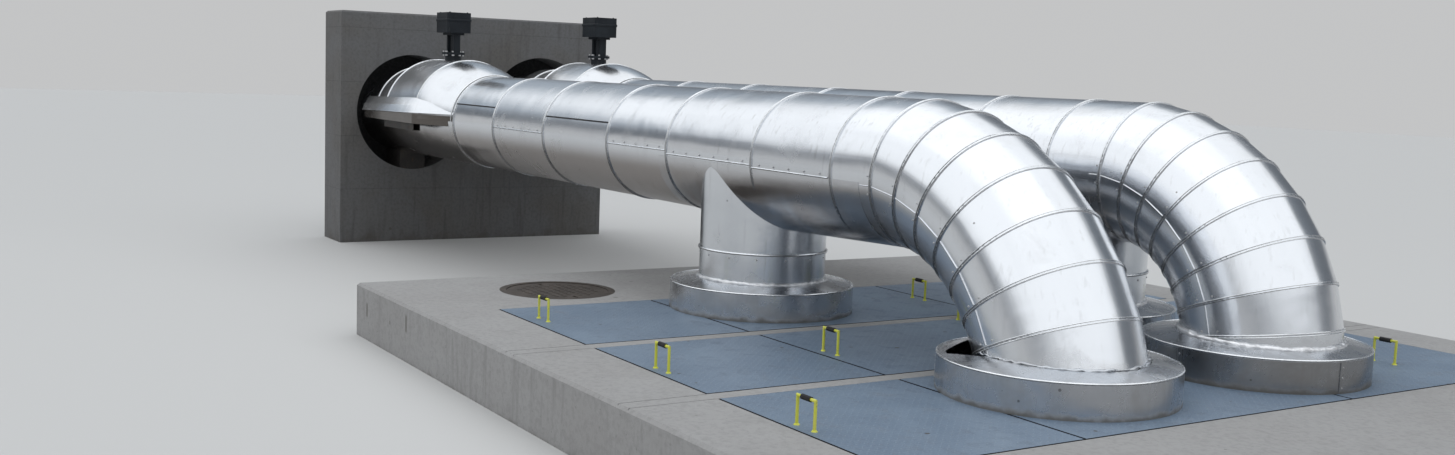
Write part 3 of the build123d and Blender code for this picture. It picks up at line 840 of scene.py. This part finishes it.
# the elbows' outer and inner gores meet on a lap along each side, gore by gore
def elbowLaps(side, pipe):
    look = lapLook
    shape = bmesh.new()
    radius = site["jacketRadius"] + look["elbowLift"]
    dive = math.radians(pipe["gore"] * site["goreSeams"])
    for around in bothSides(look["elbowAngle"][side]):
        points = [onPipe(pipe, site["elbowX"] - pipe["bend"] + 0.002, around, radius)]
        points += [onGore(pipe, centre, along, around, radius) for centre, along in goreCorners(pipe)]
        drop = (points[-1].z - site["slabTop"] - look["elbowFoot"]) / math.sin(dive)
        points.append(points[-1] + Vector((math.cos(dive), 0, -math.sin(dive))) * drop)
        for first, last in zip(points, points[1:]):
            trim = (last - first).normalized() * look["elbowTrim"]
            addRod(shape, first + trim, last - trim, look["elbowWire"])
    finishPiece(side + "_elbow_laps", shape, jackets[side, "run"])


# a screw's washer and head: radius, share left at the top, depth, rise of the middle, sides
screwLook = {
    "washer": (0.006, 0.9, 0.0012, 0.0006, 10),
    "head": (0.0042, 0.82, 0.0036, 0.0026, 6),
    "pitch": 0.15,
    "lift": 0.003,
    "besideLap": 7,
    "fromSeam": 0.024,
    "columnCount": 14,
    "columnDrop": 0.034,
}


def addScrew(shape, place, outward, size=1.0):
    for radius, top, depth, rise, sides in (screwLook["washer"], screwLook["head"]):
        middle = place + outward * rise * size
        addCone(shape, middle, outward, depth * size, radius * size, radius * top * size, sides)


def lapScrews(side, pipe):
    look = screwLook
    shape = bmesh.new()
    radius = site["jacketRadius"] + look["lift"]
    half = math.degrees(lapLook["width"] / radius / 2)
    for first, last, angle, around in lapPlaces(side, ("",)):
        middle = around + (half if around == angle else -half)
        count = max(2, round((last - first) / look["pitch"]))
        for step in range(count):
            x = first + (last - first) * (step + 0.5) / count
            place = onPipe(pipe, x, middle, radius)
            addScrew(shape, place, (place - Vector((x, pipe["y"], pipe["z"]))).normalized())
    for centre, along in goreCorners(pipe):
        for around in bothSides(lapLook["elbowAngle"][side]):
            for beside in (-look["besideLap"], look["besideLap"]):
                place = onGore(pipe, centre, along, around + beside, site["jacketRadius"])
                addScrew(shape, place - along * look["fromSeam"], (place - centre).normalized())
    columnPlace = Vector((pipe["columnX"], pipe["y"], site["columnSeam"] - look["columnDrop"]))
    for step in range(look["columnCount"]):
        outward = flatways(math.tau * (step + 0.5) / look["columnCount"])
        addScrew(shape, columnPlace + outward * site["columnRadius"], outward)
    finishPiece(side + "_jacket_screws", shape, screwSteel)


for side, pipe in pipes.items():
    seamBeads(side, pipe)
    longLaps(side, pipe)
    elbowLaps(side, pipe)
    lapScrews(side, pipe)
print("jacket seams made")


# vertical laps and rivets on the foot rings and a rolled rim along their top
ringDetail = {
    "lapAngles": {
        "front_column_ring": (150,), "front_elbow_ring": (100, 222), "rear_column_ring": (250,),
        "rear_elbow_ring": (268, 351),
    },
    "lapWidth": 0.03,
    "lapSheet": 0.002,
    "lapLift": 0.0006,
    "lapInset": 0.002,
    "gapWire": 0.0028,
    "gapInset": 0.003,
    "rimWire": 0.0055,
    "rimLift": 0.006,
    "rimInset": 0.004,
    "rivetShares": (0.18, 0.5, 0.82),
    "rivetSize": 0.8,
    "rivetLift": 0.0022,
}


def ringPlace(name):
    low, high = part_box(name)
    return low, high, (low + high) / 2, (high.x - low.x) / 2


def ringTrim(name):
    look = ringDetail
    low, high, centre, radius = ringPlace(name)
    laps, gaps, rims = bmesh.new(), bmesh.new(), bmesh.new()
    for angle in look["lapAngles"][name]:
        foot = Vector((centre.x, centre.y, 0)) + flatways(math.radians(angle)) * (radius + look["lapLift"])
        lapEnds, gapEnds = (
            [foot + upright * z for z in (low.z + inset, high.z - inset)]
            for inset in (look["lapInset"], look["gapInset"])
        )
        ends = [laps.verts.new(place) for place in lapEnds]
        bmesh.ops.spin(
            laps, geom=ends + [laps.edges.new(ends)], cent=centre, axis=upright,
            angle=look["lapWidth"] / radius, steps=2, use_duplicate=False,
        )
        addRod(gaps, *gapEnds, look["gapWire"])
    bmesh.ops.solidify(laps, geom=laps.faces[:], thickness=look["lapSheet"])
    rim = Vector((centre.x, centre.y, high.z + look["rimLift"]))
    addRing(rims, rim, upright, radius - look["rimInset"], look["rimWire"], 96, 8)
    finishPiece(name + "_trim", laps, nodeMaterial(name), 50)
    finishPiece(name + "_rim", rims, brightEdge, 60)
    finishPiece(name + "_lap_gap", gaps, seamMastic, 50)


def ringRivets():
    shape = bmesh.new()
    for name, angles in ringDetail["lapAngles"].items():
        low, high, centre, radius = ringPlace(name)
        radius += ringDetail["rivetLift"]
        for angle in angles:
            outward = flatways(math.radians(angle) + ringDetail["lapWidth"] / radius / 2)
            for share in ringDetail["rivetShares"]:
                place = Vector((centre.x, centre.y, low.z + (high.z - low.z) * share)) + outward * radius
                addScrew(shape, place, outward, ringDetail["rivetSize"])
    finishPiece("ring_rivets", shape, screwSteel)


# sealant smeared where each jacket comes through its flashing, but not at the ragged opening
sealantLook = {
    "wires": {("rear", "elbow"): 0.015, ("front", "elbow"): 0.007},
    "wire": 0.011,
    "start": 0.42,
    "lift": 0.003,
    "foot": 0.006,
    "climb": 0.03,
    "ruffle": 0.008,
    "ruffleScale": 38,
    "seed": 4,
    "steps": 180,
    "notched": ("front", "elbow"),
    "notch": (196, 252),
}


# how far a jacket's face stands from an upright axis
def reachAt(faces, centre, angle, z):
    outward = flatways(angle)
    hit = faces.ray_cast(Vector((centre.x, centre.y, z)) + outward * 0.6, -outward)[0]
    return sealantLook["start"] if hit is None else (hit.xy - centre.xy).length


def jointSealant(side, kind):
    look = sealantLook
    low, high, centre, ringRadius = ringPlace(f"{side}_{kind}_flashing")
    data = nodes[f"{side}_{kind}_jacket"].data
    corners = [vert.co for vert in data.vertices]
    jacket = BVHTree.FromPolygons(corners, [face.vertices for face in data.polygons])
    shape = bmesh.new()
    start = look["start"]
    wire = look["wires"].get((side, kind), look["wire"])
    addRing(shape, Vector((centre.x, centre.y, 0)), upright, start, wire, look["steps"], 8)
    slope = look["climb"] / (ringRadius - site["jacketRadius"])
    notch = [math.radians(angle) for angle in look["notch"]]
    noise.seed_set(look["seed"])
    inNotch = []
    for vert in shape.verts:
        angle = math.atan2(vert.co.y - centre.y, vert.co.x - centre.x)
        # the sheet's height follows from a first reach, and the last reach from that height
        reach = reachAt(jacket, centre, angle, low.z + look["foot"] + look["climb"])
        onSheet = low.z + look["foot"] + slope * (ringRadius - reach)
        reach = reachAt(jacket, centre, angle, onSheet)
        rough = noise.noise_vector(vert.co * look["ruffleScale"] + upright * centre.x) * look["ruffle"]
        vert.co += flatways(angle) * (reach + look["lift"] - start) + upright * onSheet + rough
        angle = math.atan2(vert.co.y - centre.y, vert.co.x - centre.x) % math.tau
        if (side, kind) == look["notched"] and notch[0] < angle < notch[1]:
            inNotch.append(vert)
    if inNotch:
        bmesh.ops.delete(shape, geom=inNotch, context="VERTS")
        closeEnds(shape)
    material = stainedSheet if (side, kind) == look["notched"] else sealantFoil
    finishPiece(f"{side}_{kind}_sealant", shape, material, 80)


for side in pipes:
    for kind in ("column", "elbow"):
        ringTrim(f"{side}_{kind}_ring")
        jointSealant(side, kind)
ringRivets()
print("ring trim made")


# rims on the hoods: which of the hood's places, how far along from it, and radius
hoodLook = {
    "radius": 0.5,
    "rims": ((0, 0.008, 0.5), (1, 0.0, 0.5), (2, -0.01, 0.386), (0, -0.45, 0.43)),
    "wire": 0.006,
    "wallSide": -4.66,
}


def addHalfRing(shape, centre, radius, wire, steps=40):
    made = bmesh.ops.create_circle(shape, segments=8, radius=wire)["verts"]
    bmesh.ops.translate(shape, vec=centre + Vector((0, -radius, 0)), verts=made)
    bmesh.ops.spin(shape, geom=made + edgesOf(made), cent=centre, axis=(1, 0, 0), angle=-math.pi, steps=steps)


def hoodRims(side, pipe):
    shape = bmesh.new()
    for part, along, radius in hoodLook["rims"]:
        x = pipe["hood"][part] + along
        if x > hoodLook["wallSide"]:
            addHalfRing(shape, Vector((x, pipe["y"], pipe["z"])), radius, hoodLook["wire"])
    closeEnds(shape)
    finishPiece(side + "_hood_rims", shape, brightEdge, 60)


# folded sheets along the hood's ledges. Plan, from wall to nose: x from the shoulder, place out from the
# pipe's axis, share of the profile. Profile, from the foot up: reach outwards, rise
skirtLook = {
    "plan": (
        (-1.335, 0.3, 1.0), (-1.345, 0.4, 1.0), (-1.33, 0.46, 1.0), (-1.29, 0.498, 1.0), (-1.22, 0.513, 1.0),
        (-0.62, 0.513, 1.0), (0.0, 0.513, 1.0), (0.14, 0.492, 0.85), (0.28, 0.462, 0.7), (0.42, 0.424, 0.5),
        (0.54, 0.385, 0.3), (0.60, 0.365, 0.2),
    ),
    "profile": ((0.032, 0.0), (0.038, 0.004), (0.033, 0.011), (0.017, 0.062), (0.009, 0.070), (-0.03, 0.13)),
    "foot": 0.017,
    "climb": 0.02,
    "sheet": 0.003,
    "wallFace": -4.86,
}


def hoodSkirts(side, pipe):
    shape = bmesh.new()
    shoulder = pipe["hood"][1]
    plan = [(shoulder + x, across, share) for x, across, share in skirtLook["plan"]]
    plan = [row for row in plan if row[0] > skirtLook["wallFace"]]
    for out in (-1, 1):
        rails = []
        for reach, rise in skirtLook["profile"]:
            rail = []
            for x, across, share in plan:
                y = pipe["y"] + out * (across + reach * share)
                z = pipe["z"] + skirtLook["foot"] + skirtLook["climb"] * (x - plan[0][0]) + rise * share
                rail.append(shape.verts.new((x, y, z)))
            rails.append([shape.edges.new(pair) for pair in zip(rail, rail[1:])])
        for lower, upper in zip(rails, rails[1:]):
            bmesh.ops.bridge_loops(shape, edges=lower + upper)
    bmesh.ops.recalc_face_normals(shape, faces=shape.faces)
    bmesh.ops.solidify(shape, geom=shape.faces[:], thickness=skirtLook["sheet"])
    finishPiece(side + "_hood_skirts", shape, jackets[side, "run"], 30)


for side, pipe in pipes.items():
    hoodRims(side, pipe)
    hoodSkirts(side, pipe)


# bolts of the valve stands' flanges, and of the lid on each actuator
boltLook = {
    "flangeRadius": 0.08,
    "flangeRise": 0.07,
    "flangeDepth": 0.02,
    "head": 0.012,
    "height": 0.012,
    "bevel": 0.14,
    "count": 8,
}
driveLook = {
    "overhang": 0.006,
    "thickness": 0.022,
    "heightShare": 0.62,
    "corner": 0.03,
    "edge": 0.004,
    "boltInset": 0.03,
    "boltHead": 0.007,
    "boltHeight": 0.006,
}


def bevelEdges(shape, edges, offset, segments):
    bmesh.ops.bevel(
        shape, geom=edges, affect="EDGES", offset=offset, segments=segments, profile=0.5, material=-1
    )


def addHexBolt(shape, place, axis, head, height):
    made = addCone(shape, place + axis * height / 2, axis, height, head, head, 6)
    top = [vert for vert in made if (vert.co - place).dot(axis) > height * 0.9]
    rim = [edge for edge in edgesOf(top) if all(vert in top for vert in edge.verts)]
    bevelEdges(shape, rim, head * boltLook["bevel"], 1)


def standBolts(side, pipe):
    shape = bmesh.new()
    flangeTop = Vector((pipe["valveX"], pipe["y"], pipe["z"] + hoodLook["radius"] + boltLook["flangeRise"]))
    for step in range(boltLook["count"]):
        outward = flatways(math.tau * (step + 0.5) / boltLook["count"])
        place = flangeTop + outward * boltLook["flangeRadius"]
        addHexBolt(shape, place, upright, boltLook["head"], boltLook["height"])
        place -= upright * boltLook["flangeDepth"]
        addHexBolt(shape, place, Vector((0, 0, -1)), boltLook["head"], boltLook["height"])
    finishPiece(side + "_stand_bolts", shape, screwSteel)


def riseOf(edge):
    return abs(edge.verts[0].co.z - edge.verts[1].co.z)


def actuatorLid(side):
    look = driveLook
    low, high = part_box(side + "_actuator")
    size = high - low
    centre = (low + high) / 2
    shape = bmesh.new()
    made = bmesh.ops.create_cube(shape, size=1.0)["verts"]
    spread = look["overhang"] * 2
    bmesh.ops.scale(shape, vec=(size.x + spread, size.y + spread, look["thickness"]), verts=made)
    bevelEdges(shape, [edge for edge in shape.edges if riseOf(edge) > 0.01], look["corner"], 5)
    bevelEdges(shape, [edge for edge in shape.edges if riseOf(edge) < 0.001], look["edge"], 2)
    lidHeight = low.z + size.z * look["heightShare"]
    bmesh.ops.translate(shape, vec=(centre.x, centre.y, lidHeight), verts=shape.verts)
    acrossX, acrossY = size.x / 2 - look["boltInset"], size.y / 2 - look["boltInset"]
    for alongX in (-acrossX, acrossX):
        for alongY in (-acrossY, acrossY):
            corner = Vector((centre.x + alongX, centre.y + alongY, high.z))
            addHexBolt(shape, corner, upright, look["boltHead"], look["boltHeight"])
    finishPiece(side + "_actuator_flange", shape, actuatorPaint)


for side, pipe in pipes.items():
    standBolts(side, pipe)
    actuatorLid(side)
print("hood and stand details made")


# cast studs on the manhole lid, clear of its edge and its two slots
lidLook = {
    "pitch": 0.052,
    "stud": 0.026,
    "taper": 0.8,
    "rise": 0.003,
    "margin": 0.05,
    "slotX": 0.25,
    "slotReach": (0.06, 0.05),
}


def lidStuds():
    look = lidLook
    low, high, centre, radius = ringPlace("manhole_lid")
    radius -= look["margin"]
    count = int(radius / look["pitch"]) + 1
    reachX, reachY = look["slotReach"]
    shape = bmesh.new()
    for i in range(-count, count + 1):
        for j in range(-count, count + 1):
            x, y = i * look["pitch"], j * look["pitch"]
            nearSlot = abs(y) < reachY and abs(abs(x) - look["slotX"]) < reachX
            if math.hypot(x, y) > radius or nearSlot:
                continue
            made = bmesh.ops.create_cube(shape, size=1.0)["verts"]
            bmesh.ops.scale(shape, vec=(look["stud"], look["stud"], look["rise"] * 2), verts=made)
            top = [vert for vert in made if vert.co.z > 0]
            bmesh.ops.scale(shape, vec=(look["taper"], look["taper"], 1), verts=top)
            bmesh.ops.translate(shape, vec=(centre.x + x, centre.y + y, high.z), verts=made)
    finishPiece("lid_studs", shape, castIron)


lidStuds()


# feet of the handles
footLook = {
    "radius": 0.0135,
    "topRadius": 0.0085,
    "height": 0.007,
    "lift": 0.0034,
    "barReach": 0.03,
}


def handleFeet():
    shape = bmesh.new()
    ends = [vert.co.copy() for vert in nodes["cover_handles"].data.vertices]
    low = min(co.z for co in ends)
    bars = []
    for co in ends:
        if co.z > low + 0.001:
            continue
        near = [bar for bar in bars if (bar[0] - co).length < footLook["barReach"]]
        if near:
            near[0].append(co)
        else:
            bars.append([co])
    for bar in bars:
        middle = sum(bar, Vector()) / len(bar)
        middle.z = site["slabTop"] + footLook["lift"]
        addCone(shape, middle, upright, footLook["height"], footLook["radius"], footLook["topRadius"], 16)
    finishPiece("handle_feet", shape, handlePaint)


handleFeet()
print("small pieces made")


# floor, light and world. The metal mirrors a dim band above the horizon, which rises higher behind the
# object and past the wall, and a pale sky above it
studio = {
    "floor": (0.54, 0.54, 0.535, 1),
    "horizon": (0.55, 0.555, 0.56, 1),
    "dimBand": (0.135, 0.15, 0.17, 1),
    "haze": (0.33, 0.39, 0.455, 1),
    "softTop": (1.14, 1.17, 1.20, 1),
    "bandStart": (0.075, 0.12),
    "bandTop": 0.16,
    "deepBand": 0.36,
    "wallBand": 0.13,
    "topBlend": 0.14,
    "behind": (-0.42, 0.907, 0.0),
    "behindSpread": (0.3, 0.62),
    "wallSpread": (-0.8, -0.93),
    "lampSize": (13.0, 7.0),
    "lampPower": 60.0,
    "lampPlace": (0.5, -1.5, 8.0),
}


def makeFloor():
    shape = bmesh.new()
    bmesh.ops.create_grid(shape, x_segments=1, y_segments=1, size=60)
    data = bpy.data.meshes.new("floor")
    shape.to_mesh(data)
    shape.free()
    floor = addObject("floor", data)
    made, tree, shader, coords = startMaterial("studioFloor")
    shader.inputs["Base Color"].default_value = studio["floor"]
    shader.inputs["Roughness"].default_value = 0.9
    data.materials.append(made)


def makeWorld():
    world = bpy.data.worlds.new("studio")
    bpy.context.scene.world = world
    world.use_nodes = True
    tree = world.node_tree
    direction = put(tree, "ShaderNodeTexCoord").outputs["Generated"]
    lengthways, sideways, height = split(tree, direction)
    behind = put(tree, "ShaderNodeVectorMath", {0: direction, 1: studio["behind"]}, operation="DOT_PRODUCT")
    deep = between(tree, behind.outputs["Value"], *studio["behindSpread"])
    pastWall = between(tree, lengthways, *studio["wallSpread"])
    start = maths(tree, "MULTIPLY_ADD", deep, studio["deepBand"], studio["bandTop"])
    start = maths(tree, "MULTIPLY_ADD", pastWall, studio["wallBand"], start)
    above = minus(tree, height, start)
    hazy = times(tree, between(tree, height, 0.2, 0.5), deep)
    hazy = maths(tree, "MAXIMUM", hazy, times(tree, between(tree, height, 0.16, 0.28), pastWall))
    hazy = times(tree, hazy, between(tree, sideways, 0.5, 0.72, 1.0, 0.15))
    colour = tint(tree, between(tree, height, *studio["bandStart"]), studio["horizon"], studio["dimBand"])
    colour = tint(tree, hazy, colour, studio["haze"])
    colour = tint(tree, between(tree, above, 0.0, studio["topBlend"]), colour, studio["softTop"])
    tree.links.new(colour, tree.nodes["Background"].inputs["Color"])


def makeLamp():
    lamp = bpy.data.lights.new("overhead", "AREA")
    lamp.shape = "RECTANGLE"
    lamp.size, lamp.size_y = studio["lampSize"]
    lamp.energy = studio["lampPower"]
    addObject("overhead", lamp).location = studio["lampPlace"]


makeFloor()
makeWorld()
makeLamp()
bpy.context.scene.view_settings.view_transform = "Standard"
print("studio set")
